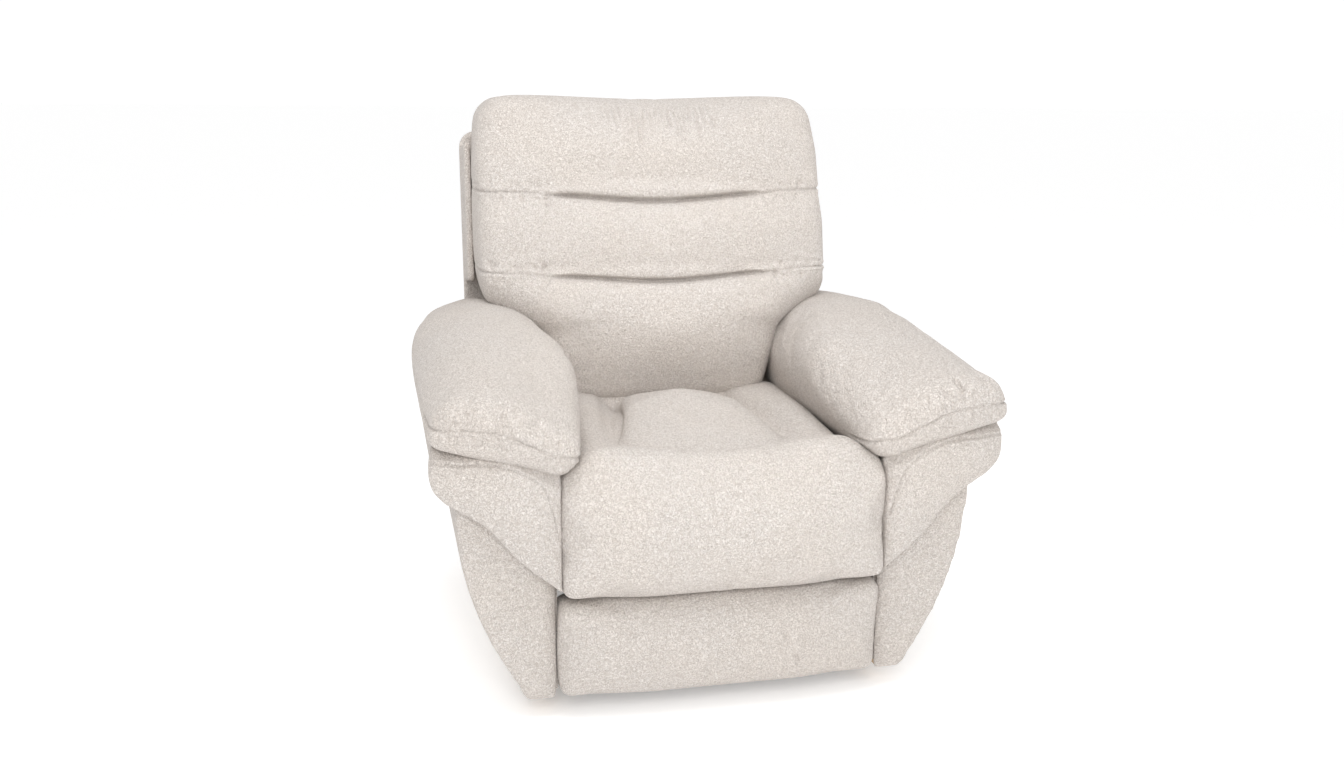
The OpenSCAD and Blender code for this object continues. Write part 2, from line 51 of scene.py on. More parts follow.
# ---- shading ----

class Socket:
    def __init__(self, maker, out):
        self.maker, self.out = maker, out

    def maths(self, kind, other, flipped=False):
        pair = (other, self) if flipped else (self, other)
        return self.maker.make("ShaderNodeMath", {"operation": kind}, *pair)

    def __add__(self, other):
        return self.maths("ADD", other)

    def __radd__(self, other):
        return self.maths("ADD", other, True)

    def __sub__(self, other):
        return self.maths("SUBTRACT", other)

    def __rsub__(self, other):
        return self.maths("SUBTRACT", other, True)

    def __mul__(self, other):
        return self.maths("MULTIPLY", other)

    def __rmul__(self, other):
        return self.maths("MULTIPLY", other, True)

    def __pow__(self, other):
        return self.maths("POWER", other)


class Finish:
    def __init__(self, name):
        self.material = bpy.data.materials.new(name)
        self.material.use_nodes = True
        self.tree = self.material.node_tree
        self.tree.nodes.clear()

    def make(self, kind, settings, *values, out=0, **named):
        node = self.tree.nodes.new(kind)
        for key, value in settings.items():
            setattr(node, key, value)
        for key, value in [*enumerate(values), *named.items()]:
            if isinstance(value, Socket):
                self.tree.links.new(value.out, node.inputs[key])
            elif value is not None:
                node.inputs[key].default_value = value
        return Socket(self, node.outputs[out]) if node.outputs else None

    def place(self):
        return self.make("ShaderNodeTexCoord", {}, out="Object")

    def noise(self, place, scale, detail=2.0, out="Fac"):
        return self.make("ShaderNodeTexNoise", {}, Vector=place, Scale=scale, Detail=detail, out=out)

    def step(self, value, low, high, least=0.0, most=1.0):
        return self.make(
            "ShaderNodeMapRange", {"interpolation_type": "SMOOTHSTEP"}, value, low, high, least, most)

    def mixed(self, share, first, second):
        node = self.tree.nodes.new("ShaderNodeMix")
        node.data_type = "RGBA"
        for index, value in ((0, share), (6, first), (7, second)):
            if isinstance(value, Socket):
                self.tree.links.new(value.out, node.inputs[index])
            elif index:
                node.inputs[index].default_value = (*value, 1)
            else:
                node.inputs[index].default_value = value
        return Socket(self, node.outputs[2])

    def close(self, colour, roughness, height=None, depth=0.001, metallic=0.0, sheen=0.0, strength=1.0):
        bump = None
        if height is not None:
            bump = self.make(
                "ShaderNodeBump", {}, Height=height, Distance=depth, Strength=strength, out="Normal")
        colour = colour if isinstance(colour, Socket) else (*colour, 1)
        surface = self.make(
            "ShaderNodeBsdfPrincipled", {}, Roughness=roughness, Metallic=metallic, Normal=bump,
            **{"Base Color": colour, "Sheen Weight": sheen, "Sheen Roughness": 0.45})
        self.make("ShaderNodeOutputMaterial", {}, surface)
        return self.material


def boucle(name, tint):
    f = Finish(name)
    place = f.place()
    wander = f.noise(place, 150, 2, "Color")
    bent = f.make("ShaderNodeVectorMath", {"operation": "MULTIPLY_ADD"}, wander, (0.009,) * 3, place)
    loops = f.make("ShaderNodeTexVoronoi", {"feature": "F1"}, Vector=bent, Scale=390, out="Distance")
    strands = f.noise(bent, 1300, 3)
    clumps = f.noise(place, 140, 3)
    drift = f.noise(place, 6, 3)
    # painted shade: the gaps between the loops, where the bump is lowest, are darkened toward a shade colour
    loopGapShade = f.step(loops, 0.25, 0.70)
    fleck = f.step(f.noise(bent, 300, 1), 0.58, 0.68)
    pale = f.step(f.noise(bent, 260, 1), 0.58, 0.70)
    warm = f.mixed(f.step(drift, 0.35, 0.65), tint["cool"], tint["warm"])
    base = f.mixed(f.step(clumps, 0.38, 0.62) * 0.5, warm, tint["shade"])
    base = f.mixed(pale * 0.40, base, tint["light"])
    base = f.mixed(fleck * 0.7, base, tint["fleck"])
    # lays the painted shade into the loop gaps
    base = f.mixed(loopGapShade * 0.7, base, tint["loopGapShadeTint"])
    height = (1 - loops) * 1.0 + strands * 0.35 + clumps * 0.9
    return f.close(base, 0.95, height, 0.0030, sheen=0.08, strength=0.9)


def plain(name, colour, roughness, metallic=0.0, grain=900):
    f = Finish(name)
    place = f.place()
    mottle = f.noise(place, 35, 3)
    darker = tuple(c * 0.8 for c in colour)
    base = f.mixed(f.step(mottle, 0.3, 0.7), darker, colour)
    return f.close(base, roughness + (mottle - 0.5) * 0.12, f.noise(place, grain, 2), 0.0002, metallic)


def plywood(name, light, dark):
    f = Finish(name)
    place = f.place()
    along = f.make("ShaderNodeVectorMath", {"operation": "MULTIPLY"}, place, (40.0, 3.0, 40.0))
    grain = f.noise(along, 1.6, 5)
    pores = f.noise(along, 14, 2)
    base = f.mixed(f.step(grain, 0.35, 0.65), light, dark)
    base = f.mixed(f.step(pores, 0.55, 0.75) * 0.3, base, tuple(c * 0.6 for c in dark))
    return f.close(base, 0.62, grain + pores * 0.4, 0.0003)


def woven(name, colour, pitch=0.004):
    f = Finish(name)
    place = f.place()
    across = f.make("ShaderNodeTexWave", {"bands_direction": "X"}, Vector=place, Scale=0.31 / pitch)
    up = f.make("ShaderNodeTexWave", {"bands_direction": "Z"}, Vector=place, Scale=0.31 / pitch)
    weave = across * up
    base = f.mixed(weave, tuple(c * 0.45 for c in colour), colour)
    return f.close(base, 0.8, weave, 0.0006)


# the last tint is a painted shade colour for the gaps between the bouclé loops
fabricTint = {
    "warm": (0.850, 0.790, 0.738), "cool": (0.836, 0.790, 0.753), "shade": (0.765, 0.705, 0.655),
    "light": (0.940, 0.905, 0.870), "fleck": (0.46, 0.405, 0.365), "loopGapShadeTint": (0.50, 0.445, 0.40)}
fabric = boucle("boucle", fabricTint)
finishes = {
    "timber": plywood("birchPlywood", (0.66, 0.50, 0.33), (0.50, 0.34, 0.20)),
    "black_steel": plain("blackSteel", (0.06, 0.06, 0.065), 0.45, 0.6),
    "spring_steel": plain("springSteel", (0.42, 0.42, 0.43), 0.35, 1.0),
    "black_plastic": plain("blackPlastic", (0.05, 0.05, 0.055), 0.5),
    "webbing": woven("webbing", (0.30, 0.30, 0.31))}
print("finishes made")


# ---- soft pieces ----

def newObject(name, mesh):
    made = bpy.data.objects.new(name, mesh)
    scene.collection.objects.link(made)
    return made


def hull(mesh, balls, detail=3):
    points = bmesh.new()
    for x, y, z, radius in balls:
        bmesh.ops.create_icosphere(
            points, subdivisions=detail, radius=radius, matrix=Matrix.Translation((x, y, z)))
    shell = bmesh.new()
    for v in points.verts:
        shell.verts.new(v.co)
    points.free()
    found = bmesh.ops.convex_hull(shell, input=shell.verts)
    inside = [g for g in found["geom_interior"] if isinstance(g, bmesh.types.BMVert)]
    bmesh.ops.delete(shell, geom=inside, context="VERTS")
    bmesh.ops.recalc_face_normals(shell, faces=shell.faces)
    if mesh.vertices:
        shell.from_mesh(mesh)
    shell.to_mesh(mesh)
    shell.free()


def slab(mesh, outline, near, far):
    shell = bmesh.new()
    face = shell.faces.new([shell.verts.new((x, near, z)) for x, z in outline])
    made = bmesh.ops.extrude_face_region(shell, geom=[face])
    verts = [g for g in made["geom"] if isinstance(g, bmesh.types.BMVert)]
    bmesh.ops.translate(shell, verts=verts, vec=(0, far - near, 0))
    bmesh.ops.recalc_face_normals(shell, faces=shell.faces)
    shell.to_mesh(mesh)
    shell.free()


def copied(node):
    shell = bmesh.new()
    shell.from_mesh(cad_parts[node].data)
    bmesh.ops.remove_doubles(shell, verts=shell.verts, dist=0.00001)
    mesh = bpy.data.meshes.new(node)
    shell.to_mesh(mesh)
    shell.free()
    return mesh


def baked(obj):
    depsgraph = bpy.context.evaluated_depsgraph_get()
    mesh = bpy.data.meshes.new_from_object(obj.evaluated_get(depsgraph))
    obj.modifiers.clear()
    obj.data = mesh


def points(obj):
    co = np.empty(len(obj.data.vertices) * 3)
    obj.data.vertices.foreach_get("co", co)
    return co.reshape(-1, 3)


def normals(obj):
    found = np.empty(len(obj.data.vertices) * 3)
    obj.data.vertex_normals.foreach_get("vector", found)
    return found.reshape(-1, 3)


def setPoints(obj, co):
    obj.data.vertices.foreach_set("co", co.ravel())
    obj.data.update()


def remeshed(obj, voxel, rounds):
    obj.modifiers.new("voxels", "REMESH").voxel_size = voxel
    if rounds:
        smooth = obj.modifiers.new("smooth", "SMOOTH")
        smooth.factor, smooth.iterations = 0.5, rounds
    baked(obj)


# blows the piece up as cloth, with the held points pinned and no point moved further than cap
def inflated(obj, held, pressure, cap):
    rest = points(obj)
    group = obj.vertex_groups.new(name="held")
    for index, weight in enumerate(held):
        if weight > 0.01:
            group.add([index], float(weight), "REPLACE")
    cloth = obj.modifiers.new("cloth", "CLOTH")
    settings = cloth.settings
    settings.quality = 5
    settings.mass = 0.3
    settings.tension_stiffness = settings.compression_stiffness = 15
    settings.shear_stiffness = 8
    settings.bending_stiffness = 1.5
    settings.air_damping = 4
    settings.use_pressure = True
    settings.uniform_pressure_force = pressure
    settings.vertex_group_mass = "held"
    settings.effector_weights.gravity = 0
    frames = range(1, 21)
    cloth.point_cache.frame_start, cloth.point_cache.frame_end = frames[0], frames[-1]
    for number in frames:
        scene.frame_set(number)
    baked(obj)
    moved = points(obj) - rest
    length = np.linalg.norm(moved, axis=1, keepdims=True)
    setPoints(obj, rest + moved * np.minimum(1, cap / np.maximum(length, 1e-9)))
    obj.vertex_groups.clear()
    print("inflated", obj.name, "by at most", round(float(length.max()) * 1000, 1), "mm")


def subdivided(obj, levels=1):
    obj.modifiers.new("subdivision", "SUBSURF").levels = levels
    baked(obj)


# splits the faces between low and high once more, where seams and pleats need it
def refined(obj, low, high, rounds=2):
    shell = bmesh.new()
    shell.from_mesh(obj.data)
    inside = {v for v in shell.verts if all(a < c < b for a, c, b in zip(low, v.co, high))}
    edges = [e for e in shell.edges if e.verts[0] in inside and e.verts[1] in inside]
    bmesh.ops.subdivide_edges(shell, edges=edges, cuts=1, use_grid_fill=True)
    bmesh.ops.triangulate(shell, faces=[f for f in shell.faces if len(f.verts) > 4])
    within = [v for v in shell.verts if all(a < c < b for a, c, b in zip(low, v.co, high))]
    for number in range(rounds):
        bmesh.ops.smooth_vert(
            shell, verts=within, factor=0.5, use_axis_x=True, use_axis_y=True, use_axis_z=True)
    shell.to_mesh(obj.data)
    shell.free()


def ramp(value, low, high):
    t = np.clip((value - low) / (high - low), 0, 1)
    return t * t * (3 - 2 * t)


# how far each flat point is from the path, and how far along the path its nearest point is
def lineOffset(flat, path):
    best = np.full(len(flat), 1e9)
    travel = np.zeros(len(flat))
    path = np.array(path, float)
    lengths = np.linalg.norm(np.diff(path, axis=0), axis=1)
    starts = np.concatenate(([0], np.cumsum(lengths)))
    for a, b, length, start in zip(path, path[1:], lengths, starts):
        t = np.clip((flat - a) @ (b - a) / max(length ** 2, 1e-12), 0, 1)
        away = np.linalg.norm(flat - (a + t[:, None] * (b - a)), axis=1)
        nearer = away < best
        best = np.where(nearer, away, best)
        travel = np.where(nearer, (start + t * length) / starts[-1], travel)
    return best, travel


# presses a seam or a pleat along the path into the points, with an optional ridge on both sides
def pressed(co, along, flat, path, width, depth, ends=0.12, sharp=True, ridge=0.0, mask=1.0):
    away, travel = lineOffset(flat, path)
    fade = ramp(travel, -0.001, ends) * ramp(-travel, -1.001, -1 + ends) if ends else 1.0
    shape = np.exp(-away / width) if sharp else np.exp(-(away / width) ** 2)
    lift = np.exp(-((away - 2.4 * width) / (1.1 * width)) ** 2) * ridge
    return co + along * ((lift - depth * shape) * fade * mask)[:, None]


def smoothPath(ctrl, count):
    ctrl = np.array(ctrl, float)
    chord = np.concatenate(([0], np.cumsum(np.linalg.norm(np.diff(ctrl, axis=0), axis=1))))
    tangents = np.gradient(ctrl, chord, axis=0)
    spots = np.linspace(0, chord[-1], count)
    index = np.clip(np.searchsorted(chord, spots, side="right") - 1, 0, len(ctrl) - 2)
    gap = (chord[index + 1] - chord[index])[:, None]
    t = (spots - chord[index])[:, None] / gap
    first, second = ctrl[index], ctrl[index + 1]
    return ((2 * t ** 3 - 3 * t ** 2 + 1) * first + (t ** 3 - 2 * t ** 2 + t) * gap * tangents[index]
            + (3 * t ** 2 - 2 * t ** 3) * second + (t ** 3 - t ** 2) * gap * tangents[index + 1])


def finished(obj, body, nodes, blend=None):
    obj.data.materials.clear()
    obj.data.materials.append(fabric)
    obj.data.polygons.foreach_set("use_smooth", [True] * len(obj.data.polygons))
    if blend:
        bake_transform(obj)
    else:
        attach(obj, body)
    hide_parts(*nodes)
    print("made", obj.name, len(obj.data.polygons))


# ---- back pillows ----

back = {
    "voxel": 0.0075, "smooth": 8, "held": 0.30, "puff": 0.014,
    "seams": (0.867, 0.709), "tuckHalf": (0.222, 0.236), "sag": 0.012, "turnUp": 0.008,
    "tuckDepth": 0.022, "tuckWidth": 0.008, "seamDepth": 0.0050, "seamWidth": 0.0026, "pressure": 3.0,
    "reach": 0.40, "above": 1.3, "below": 0.2, "gathers": (-0.105, 0.135, 0.0125), "fill": 0.75}
backRows = {
    "head": [
        (0.298, 0.264, 1.002, 0.062), (0.300, 0.372, 1.004, 0.058), (0.305, 0.240, 0.940, 0.062),
        (0.316, 0.210, 0.872, 0.049), (0.310, 0.360, 0.890, 0.055), (0.110, 0.226, 0.945, 0.074),
        (0.110, 0.208, 0.900, 0.060)],
    "middle": [
        (0.314, 0.208, 0.860, 0.050), (0.309, 0.184, 0.800, 0.058), (0.316, 0.166, 0.716, 0.050),
        (0.316, 0.330, 0.860, 0.050), (0.318, 0.310, 0.730, 0.048), (0.120, 0.176, 0.840, 0.062),
        (0.110, 0.170, 0.790, 0.074), (0.120, 0.152, 0.745, 0.060)],
    "lumbarTop": [
        (0.320, 0.156, 0.706, 0.046), (0.328, 0.160, 0.676, 0.034), (0.328, 0.262, 0.676, 0.032),
        (0.120, 0.128, 0.680, 0.060), (0.320, 0.300, 0.705, 0.045), (0.200, 0.112, 0.640, 0.062)],
    "lumbarLow": [
        (0.205, 0.118, 0.670, 0.058), (0.188, 0.112, 0.560, 0.052), (0.180, 0.126, 0.494, 0.048),
        (0.190, 0.260, 0.500, 0.050), (0.195, 0.290, 0.660, 0.050), (0.0, 0.106, 0.600, 0.068)]}


# height of a seam over its level: it sags in the middle and turns up past the end of the tuck
def seamRise(x, half):
    reach = np.abs(x)
    return back["turnUp"] * ramp(reach, half - 0.03, half + 0.05) - back["sag"] * (1 - ramp(reach, 0, half))


def seamHeight(x, level, half):
    return level + float(seamRise(np.array(x), half))


def wrinkled(co, out, flat, facing, picker):
    for level, half in zip(back["seams"], back["tuckHalf"]):
        x = np.linspace(-back["reach"], back["reach"], 60)
        path = np.column_stack((x, level + seamRise(x, half)))
        thin = ramp(np.abs(co[:, 0]), half - 0.06, half + 0.02)
        away = lineOffset(flat, path)[0]
        co[:, 1] += 0.014 * np.exp(-(away / 0.0045) ** 2) * (1 - thin) * facing
        co = pressed(
            co, out, flat, path, back["seamWidth"], back["seamDepth"], 0, ridge=0.0012, mask=facing * thin)
        for s in (-1, 1):
            for number in range(16):
                reach = half + 0.01 + 0.145 * picker.random()
                z = seamHeight(reach, level, half)
                tip = (s * reach + picker.uniform(-0.012, 0.012),
                       z + picker.choice((-1, 1)) * picker.uniform(0.014, 0.034))
                co = pressed(co, out, flat, [(s * reach, z), tip], picker.uniform(0.0025, 0.0045),
                             picker.uniform(0.0018, 0.0042), 0.4, sharp=False, mask=facing)
            for number in range(7):
                angle = math.radians(picker.uniform(-70, 70))
                span = picker.uniform(0.02, 0.05)
                x = s * (half - 0.005)
                z = seamHeight(half, level, half)
                tip = (x + s * span * math.cos(angle), z + span * math.sin(angle))
                co = pressed(co, out, flat, [(x, z), tip], 0.0036, picker.uniform(0.0012, 0.0028), 0.35,
                             sharp=False, mask=facing)
    for x in np.arange(*back["gathers"]):
        x = float(x) + picker.uniform(-0.003, 0.003)
        top = picker.uniform(1.040, 1.06)
        tip = (x + picker.uniform(-0.005, 0.005), top - picker.uniform(0.030, 0.095))
        co = pressed(co, out, flat, [(x, top), tip], picker.uniform(0.0024, 0.0034),
                     picker.uniform(0.0024, 0.0050), 0.3, sharp=False, mask=facing)
    return co


# the part of the back body between two curved seams, each given as (level, half of its tuck)
def pillowMesh(name, body, upper, lower):
    shell = bmesh.new()
    shell.from_mesh(body.data)
    for level, half, isTop in ((*upper, True), (*lower, False)):
        for v in shell.verts:
            v.co.z -= seamHeight(v.co.x, 0, half)
        made = bmesh.ops.bisect_plane(
            shell, geom=shell.verts[:] + shell.edges[:] + shell.faces[:], plane_co=(0, 0, level),
            plane_no=(0, 0, 1), clear_outer=isTop, clear_inner=not isTop)
        edges = [g for g in made["geom_cut"] if isinstance(g, bmesh.types.BMEdge)]
        if edges:
            bmesh.ops.holes_fill(shell, edges=edges, sides=0)
        for v in shell.verts:
            v.co.z += seamHeight(v.co.x, 0, half)
    bmesh.ops.triangulate(shell, faces=[f for f in shell.faces if len(f.verts) > 4])
    part = bpy.data.meshes.new(name)
    shell.to_mesh(part)
    shell.free()
    return part


def makeBack():
    mesh = bpy.data.meshes.new("backBody")
    for balls in backRows.values():
        hull(mesh, [(s * x, y, z, r) for x, y, z, r in balls for s in (-1, 1)])
    body = newObject("backBody", mesh)
    remeshed(body, back["voxel"], back["smooth"])
    co = points(body)
    facing = ramp(-normals(body)[:, 1], 0.0, 0.35)
    held = np.zeros(len(co))
    for level, half in zip(back["seams"], back["tuckHalf"]):
        away = np.abs(co[:, 2] - level - seamRise(co[:, 0], half))
        deep = 1 - ramp(np.abs(co[:, 0]), half - 0.05, half + 0.015)
        tuck = back["tuckDepth"] * np.exp(-away / back["tuckWidth"])
        press = deep * (tuck + 0.004 * np.exp(-(away / 0.03) ** 2))
        co[:, 1] += press * facing
        held = np.maximum(held, (away < 0.006) * facing)
    co[:, 2] -= 0.010 * (1 - ramp(np.abs(co[:, 0]), 0.02, 0.30)) * ramp(co[:, 2], 0.98, 1.05)
    setPoints(body, co)
    held = np.maximum(held, co[:, 1] > back["held"] + (co[:, 2] - 0.7) * 0.15)
    held = np.maximum(held, co[:, 2] < 0.5)
    inflated(body, held, back["pressure"], back["puff"])
    subdivided(body)
    for level in back["seams"]:
        refined(body, (-1, -1, level - 0.032), (1, 0.30, level + 0.032), 1)
    refined(body, (-0.16, -1, 0.95), (0.19, 0.36, 1.2), 1)
    co = points(body)
    out = normals(body)
    facing = ramp(-out[:, 1], -0.2, 0.2)
    flat = co[:, (0, 2)]
    picker = random.Random(5)
    co = wrinkled(co, out, flat, facing, picker)
    setPoints(body, co)
    high, low = zip(back["seams"], back["tuckHalf"])
    above, below = (back["above"], high[1]), (back["below"], low[1])
    for name, upper, lower in (
            ("pillowHead", above, high), ("pillowMiddle", high, low), ("pillowLumbar", low, below)):
        part = newObject(name, pillowMesh(name, body, upper, lower))
        finished(part, "backrest", ["pillow_" + name[6:].lower()])
    bpy.data.objects.remove(body)


makeBack()


# ---- arm pads ----

arm = {
    "voxel": 0.0075, "smooth": 8, "puff": 0.010, "pressure": 2.5, "seamDepth": 0.0052, "seamWidth": 0.0022,
    "rollRadius": 0.045, "pleats": (0.262, 0.494, 0.0078), "longPleats": 7, "pocketGap": 0.0016,
    "pocketMouth": 0.060, "fill": 0.8}
# across the pad: x, then the middle of its front roll
armRoll = {"x": (0.298, 0.370, 0.450), "y": (-0.405, -0.421, -0.425), "z": (0.490, 0.536, 0.549)}
armRows = [
    [(0.468, 0.382, 0.522, 0.028), (0.430, 0.375, 0.540, 0.034), (0.300, 0.378, 0.524, 0.030)],
    [(0.425, 0.345, 0.560, 0.058), (0.470, 0.345, 0.521, 0.029), (0.370, 0.350, 0.578, 0.056),
     (0.316, 0.335, 0.568, 0.054), (0.312, 0.330, 0.500, 0.045)],
    [(0.436, 0.210, 0.572, 0.062), (0.473, 0.210, 0.521, 0.029), (0.372, 0.200, 0.590, 0.060),
     (0.300, 0.185, 0.574, 0.060), (0.300, 0.180, 0.490, 0.056)],
    [(0.438, 0.060, 0.584, 0.065), (0.474, 0.060, 0.521, 0.029), (0.370, 0.060, 0.590, 0.063),
     (0.296, 0.060, 0.574, 0.063), (0.300, 0.060, 0.486, 0.058)],
    [(0.438, -0.090, 0.577, 0.063), (0.474, -0.090, 0.521, 0.029), (0.370, -0.090, 0.580, 0.063),
     (0.284, -0.090, 0.570, 0.062), (0.306, -0.090, 0.480, 0.058)],
    [(0.439, -0.170, 0.569, 0.062), (0.474, -0.170, 0.521, 0.029), (0.370, -0.170, 0.570, 0.062),
     (0.280, -0.170, 0.560, 0.060), (0.305, -0.170, 0.476, 0.054)],
    [(0.441, -0.250, 0.560, 0.060), (0.475, -0.250, 0.521, 0.029), (0.370, -0.250, 0.556, 0.061),
     (0.284, -0.250, 0.534, 0.057), (0.304, -0.250, 0.474, 0.050)],
    [(0.448, -0.380, 0.546, 0.053), (0.476, -0.385, 0.527, 0.027), (0.370, -0.380, 0.538, 0.054),
     (0.298, -0.372, 0.500, 0.053), (0.298, -0.360, 0.480, 0.046)],
    [(0.455, -0.425, 0.549, 0.044), (0.477, -0.436, 0.532, 0.026), (0.370, -0.421, 0.536, 0.045),
     (0.296, -0.405, 0.490, 0.045)]]
armSeam = [
    (0.510, -0.004), (0.450, -0.004), (0.400, -0.004), (0.360, -0.008), (0.320, -0.004), (0.290, -0.003),
    (0.262, -0.010), (0.247, -0.020)]


# distance up the front of the pad and over its roll, from the height of the roll's middle
def rollTravel(co):
    x = np.abs(co[:, 0])
    centreY = np.interp(x, armRoll["x"], armRoll["y"])
    centreZ = np.interp(x, armRoll["x"], armRoll["z"])
    ahead, above = centreY - co[:, 1], co[:, 2] - centreZ
    radius = arm["rollRadius"]
    over = radius * np.arctan2(above, np.maximum(ahead, 0))
    return np.where(above < 0, above, np.where(ahead < 0, radius * math.pi / 2 - ahead, over))


# opens the pad for the release handle's bezel
def pocketed(body):
    shell = bmesh.new()
    shell.from_mesh(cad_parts["release_bezel"].data)
    low = Vector([min(v.co[k] for v in shell.verts) for k in range(3)])
    high = Vector([max(v.co[k] for v in shell.verts) for k in range(3)])
    shell.clear()
    bmesh.ops.create_cube(shell, size=1)
    high.x += arm["pocketMouth"]
    middle = (low + high) / 2
    for v in shell.verts:
        v.co = middle + Vector(c * (d + arm["pocketGap"]) for c, d in zip(v.co, high - low))
    mesh = bpy.data.meshes.new("pocket")
    shell.to_mesh(mesh)
    shell.free()
    cutter = newObject("pocket", mesh)
    cut = body.modifiers.new("pocket", "BOOLEAN")
    cut.operation, cut.object, cut.solver = "DIFFERENCE", cutter, "EXACT"
    baked(body)
    bpy.data.objects.remove(cutter)


def makeArm(s):
    name = "armPadLeft" if s > 0 else "armPadRight"
    mesh = bpy.data.meshes.new(name)
    for first, second in zip(armRows, armRows[1:]):
        hull(mesh, [(s * x, y, z, r) for x, y, z, r in first + second])
    body = newObject(name, mesh)
    remeshed(body, arm["voxel"], arm["smooth"])
    co = points(body)
    held = (co[:, 2] < 0.51 - 0.06 * (np.abs(co[:, 0]) < 0.30)).astype(float)
    inflated(body, held, arm["pressure"], arm["puff"])
    subdivided(body)
    refined(body, (-1, -1, 0.42), (1, -0.30, 1))
    co = points(body)
    out = normals(body)
    flat = np.column_stack((np.abs(co[:, 0]), rollTravel(co)))
    front = ramp(-co[:, 1], 0.30, 0.36)
    seam = smoothPath(armSeam, 40)
    co = co + out * (0.002 * np.exp(-((flat[:, 1] + 0.026) / 0.014) ** 2) * front)[:, None]
    co = pressed(co, out, flat, seam, arm["seamWidth"], arm["seamDepth"], 0, ridge=0.0015, mask=front)
    picker = random.Random(11 if s > 0 else 12)
    strength = 0.0
    for x in np.arange(*arm["pleats"]):
        strength = 0.35 * strength + picker.uniform(0.0004, 0.0036)
        x = float(x) + picker.uniform(-0.0014, 0.0014)
        base = float(np.interp(-x, -seam[:, 0], seam[:, 1]))
        lean = picker.uniform(-0.003, 0.003)
        for span in (picker.uniform(0.016, 0.050), -picker.uniform(0.022, 0.034)):
            path = [(x, base), (x + lean, base + span)]
            co = pressed(co, out, flat, path, picker.uniform(0.0026, 0.0034), 0.85 * strength, 0.15,
                         sharp=False, mask=front)
    for number in range(arm["longPleats"]):
        x = picker.uniform(0.400, 0.480) if s > 0 else picker.uniform(0.300, 0.470)
        start = picker.uniform(0.004, 0.030)
        path = [(x, start), (x - picker.uniform(0.004, 0.020), start + picker.uniform(0.040, 0.075))]
        co = pressed(co, out, flat, path, picker.uniform(0.0036, 0.0048), picker.uniform(0.0022, 0.0038),
                     0.35, sharp=False, mask=front)
    setPoints(body, co)
    if s < 0:
        pocketed(body)
    finished(body, "base", ["arm_pad_" + ("left" if s > 0 else "right")])


for s in (-1, 1):
    makeArm(s)


# ---- wing bolsters and side panels ----

wing = {
    "front": -0.436, "rear": -0.388, "voxel": 0.006, "smooth": 6, "crown": 0.014, "pressure": 1.5,
    "puff": 0.006, "creaseDepth": 0.016, "creaseWidth": 0.011, "stitchDepth": 0.0036, "stitchWidth": 0.0018,
    "fill": 0.6}
wingOutline = [
    (0.288, 0.241), (0.294, 0.250), (0.318, 0.270), (0.341, 0.289), (0.364, 0.310), (0.387, 0.339),
    (0.409, 0.366), (0.436, 0.386), (0.454, 0.398), (0.478, 0.412), (0.496, 0.432), (0.503, 0.451),
    (0.503, 0.475), (0.498, 0.505), (0.288, 0.505)]
wingStitch = [
    (0.500, 0.485), (0.476, 0.485), (0.454, 0.482), (0.427, 0.482), (0.380, 0.474), (0.345, 0.458),
    (0.317, 0.434), (0.303, 0.395), (0.292, 0.350)]


def makeWing(s):
    name = "wingBolsterLeft" if s > 0 else "wingBolsterRight"
    mesh = bpy.data.meshes.new(name)
    slab(mesh, [(s * x, z) for x, z in wingOutline], wing["front"], wing["rear"])
    body = newObject(name, mesh)
    remeshed(body, wing["voxel"], wing["smooth"])
    co = points(body)
    edge = lineOffset(co[:, (0, 2)], [(s * x, z) for x, z in wingOutline + wingOutline[:1]])[0]
    co[:, 1] -= wing["crown"] * ramp(edge, 0.0, 0.045) * ramp(-co[:, 1], 0.40, 0.43)
    setPoints(body, co)
    inflated(body, (co[:, 1] > -0.40).astype(float), wing["pressure"], wing["puff"])
    subdivided(body)
    refined(body, (-1, -1, 0), (1, -0.425, 1))
    co = points(body)
    out = normals(body)
    flat = np.column_stack((np.abs(co[:, 0]), co[:, 2]))
    front = ramp(-out[:, 1], 0.1, 0.4)
    underPad = np.interp(flat[:, 0], armRoll["x"], (0.447, 0.490, 0.503))
    crease = np.exp(-((flat[:, 1] - underPad) / wing["creaseWidth"]) ** 2)
    co[:, 1] += wing["creaseDepth"] * crease * ramp(-co[:, 1], 0.41, 0.43)
    co = pressed(co, out, flat, smoothPath(wingStitch, 40), wing["stitchWidth"], wing["stitchDepth"], 0,
                 ridge=0.0008, mask=front)
    setPoints(body, co)
    finished(body, "base", ["wing_bolster_" + ("left" if s > 0 else "right")])


side = {
    "voxel": 0.009, "smooth": 6, "hem": 0.010, "inwards": 0.0022, "ledge": 0.008, "crown": 0.008, "fill": 0.5}


def makeSide(s):
    cad = "side_panel_" + ("left" if s > 0 else "right")
    body = newObject("sidePanelLeft" if s > 0 else "sidePanelRight", copied(cad))
    remeshed(body, side["voxel"], side["smooth"])
    subdivided(body)
    co = points(body)
    co[:, 2] -= side["hem"] * ramp(-co[:, 2], -0.070, -0.050)
    inner = ramp(-np.abs(co[:, 0]), -0.300, -0.292) * ramp(-co[:, 1], 0.355, 0.375)
    co[:, 0] -= s * side["inwards"] * inner
    co[:, 0] -= s * side["ledge"] * ramp(co[:, 2], 0.425, 0.470) * ramp(np.abs(co[:, 0]), 0.40, 0.47)
    edge = np.minimum(np.abs(co[:, 0]) - 0.29, co[:, 2] - 0.035)
    co[:, 1] -= side["crown"] * ramp(edge, 0.0, 0.030) * ramp(-co[:, 1], 0.370, 0.386)
    setPoints(body, co)
    finished(body, "base", [cad])


for s in (-1, 1):
    makeWing(s)
    makeSide(s)


# ---- seat, chaise pad and footrest ----

def mirrored(balls):
    return [(s * x, y, z, r) for s in (-1, 1) for x, y, z, r in balls]


